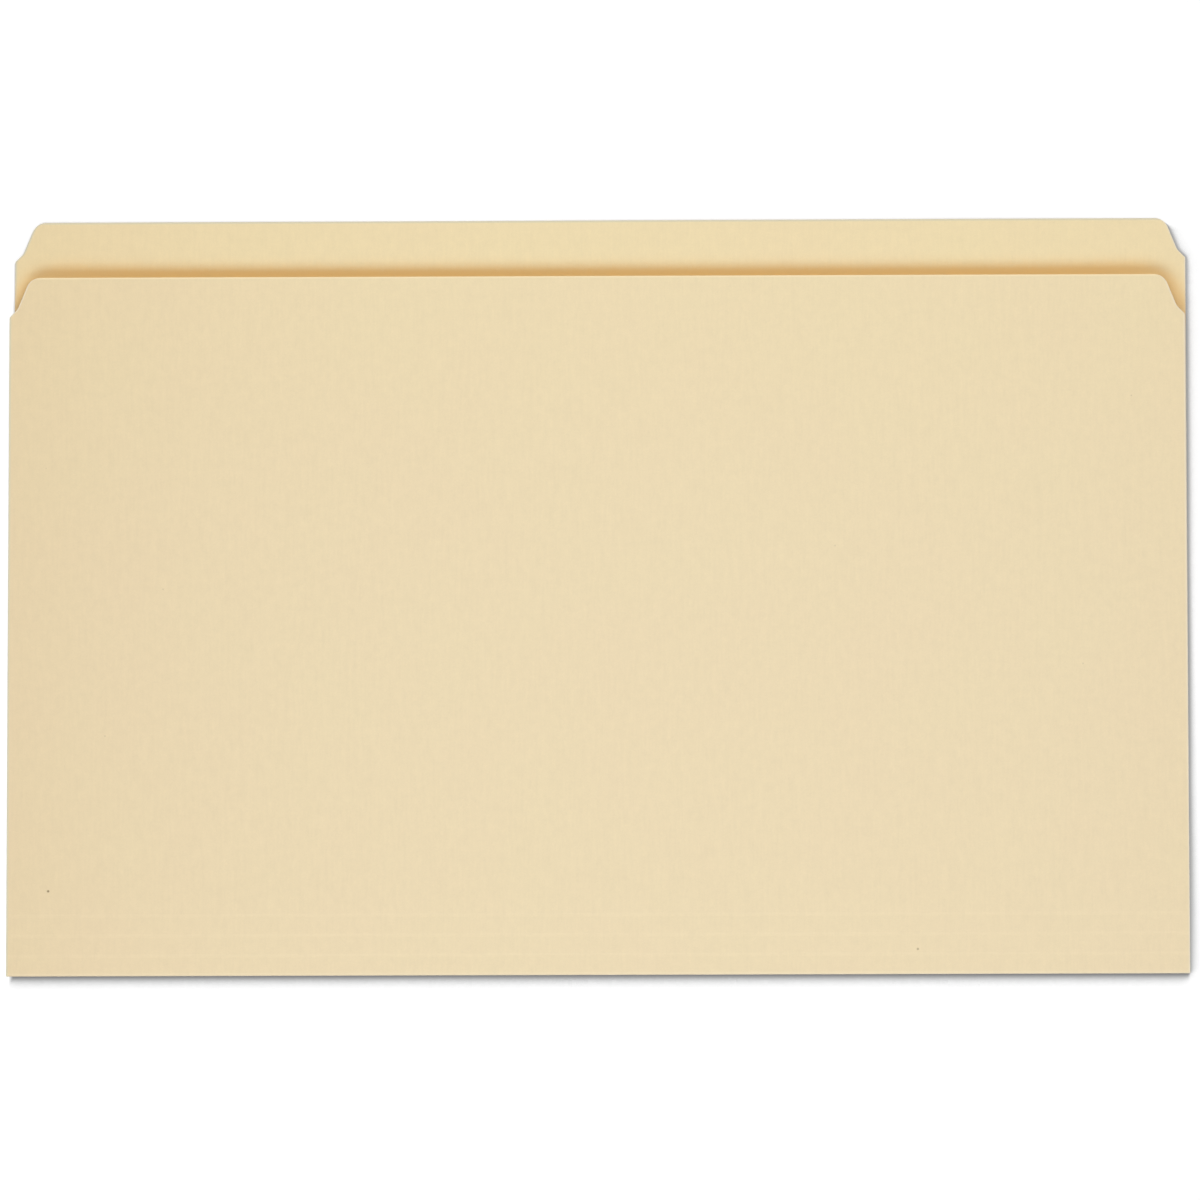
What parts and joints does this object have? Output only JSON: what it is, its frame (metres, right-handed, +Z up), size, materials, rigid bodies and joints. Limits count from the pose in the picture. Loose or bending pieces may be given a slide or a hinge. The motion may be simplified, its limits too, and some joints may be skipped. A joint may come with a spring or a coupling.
{
  "type": "manila file folder",
  "caption": "Straight-cut manila card folder with a full-width tab, cut-in shoulders and a scored expanding bottom; opens like a book to hold loose papers.",
  "frame": {"origin": "on the table, under the middle of the closed folder as it lies on its back leaf", "axes": "+X along the fold, +Y from the fold towards the tab, +Z up through the leaves"},
  "size_m": [0.3746, 0.2413, 0.0057],
  "materials": {
    "manila_card": "matt uncoated manila card, buff with fine fibres"
  },
  "bodies": {
    "back_leaf": {"back_leaf": "manila_card", "main_fold": "manila_card"},
    "expansion_strip_1": {"expansion_strip_1": "manila_card", "score_line_1": "manila_card"},
    "expansion_strip_2": {"expansion_strip_2": "manila_card", "score_line_2": "manila_card"},
    "expansion_strip_3": {"expansion_strip_3": "manila_card", "score_line_3": "manila_card"},
    "front_leaf": {"front_leaf": "manila_card"}
  },
  "joints": [
    {"name": "cover_swing", "type": "hinge", "parent": "back_leaf", "child": "expansion_strip_1", "pos_m": [0, -0.12032, 0.00033], "axis": [1, 0, 0], "range_deg": [-1.29, 178.71], "stiffness_Nm_per_rad": 0.014437, "springref_deg": 80.21},
    {"name": "score_1_bend", "type": "hinge", "parent": "expansion_strip_1", "child": "expansion_strip_2", "pos_m": [0, -0.11431, 0.00066], "axis": [1, 0, 0], "range_deg": [0, 60]},
    {"name": "score_2_bend", "type": "hinge", "parent": "expansion_strip_2", "child": "expansion_strip_3", "pos_m": [0, -0.10796, 0.0008], "axis": [1, 0, 0], "range_deg": [0, 60]},
    {"name": "score_3_bend", "type": "hinge", "parent": "expansion_strip_3", "child": "front_leaf", "pos_m": [0, -0.10161, 0.00094], "axis": [1, 0, 0], "range_deg": [0, 60]}
  ]
}
